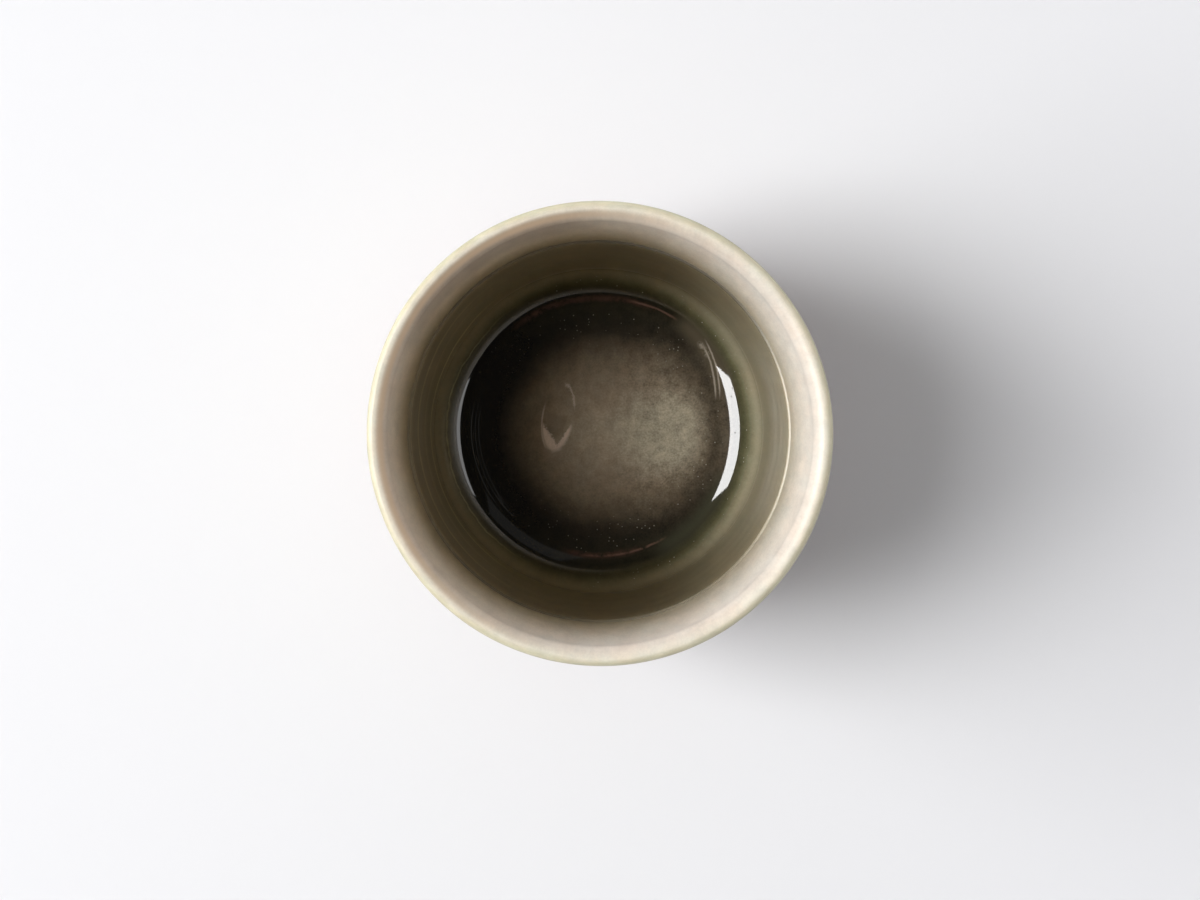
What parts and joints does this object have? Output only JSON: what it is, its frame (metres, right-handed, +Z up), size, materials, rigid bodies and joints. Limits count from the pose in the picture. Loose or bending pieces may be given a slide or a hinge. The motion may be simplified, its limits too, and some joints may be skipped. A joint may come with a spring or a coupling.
{
  "type": "tea cup",
  "caption": "Tall handleless ceramic tea cup with a near-straight wall, a rounded pale lip, a dark glazed inside and a bare clay foot ring, for holding hot tea.",
  "frame": {"origin": "on the cup's axis, on the plane that the foot ring stands on", "axes": "+Z up along the cup's axis, from the foot ring to the lip; the cup is round, so +X and +Y are free"},
  "size_m": [0.08, 0.08, 0.088],
  "materials": {
    "clay": "bare fired stoneware",
    "foot_clay": "bare fired stoneware, smoothed",
    "slip": "bare fired slip",
    "dark_glaze": "glossy olive to near-black glaze",
    "pale_glaze": "glossy cream glaze",
    "outside_glaze": "glossy olive-cream glaze"
  },
  "bodies": {
    "root": {"clay_body": "clay", "foot_ring": "foot_clay", "luting_slip": "slip", "inner_glaze": "dark_glaze", "rim_glaze": "pale_glaze", "outer_glaze": "outside_glaze"}
  },
  "joints": []
}
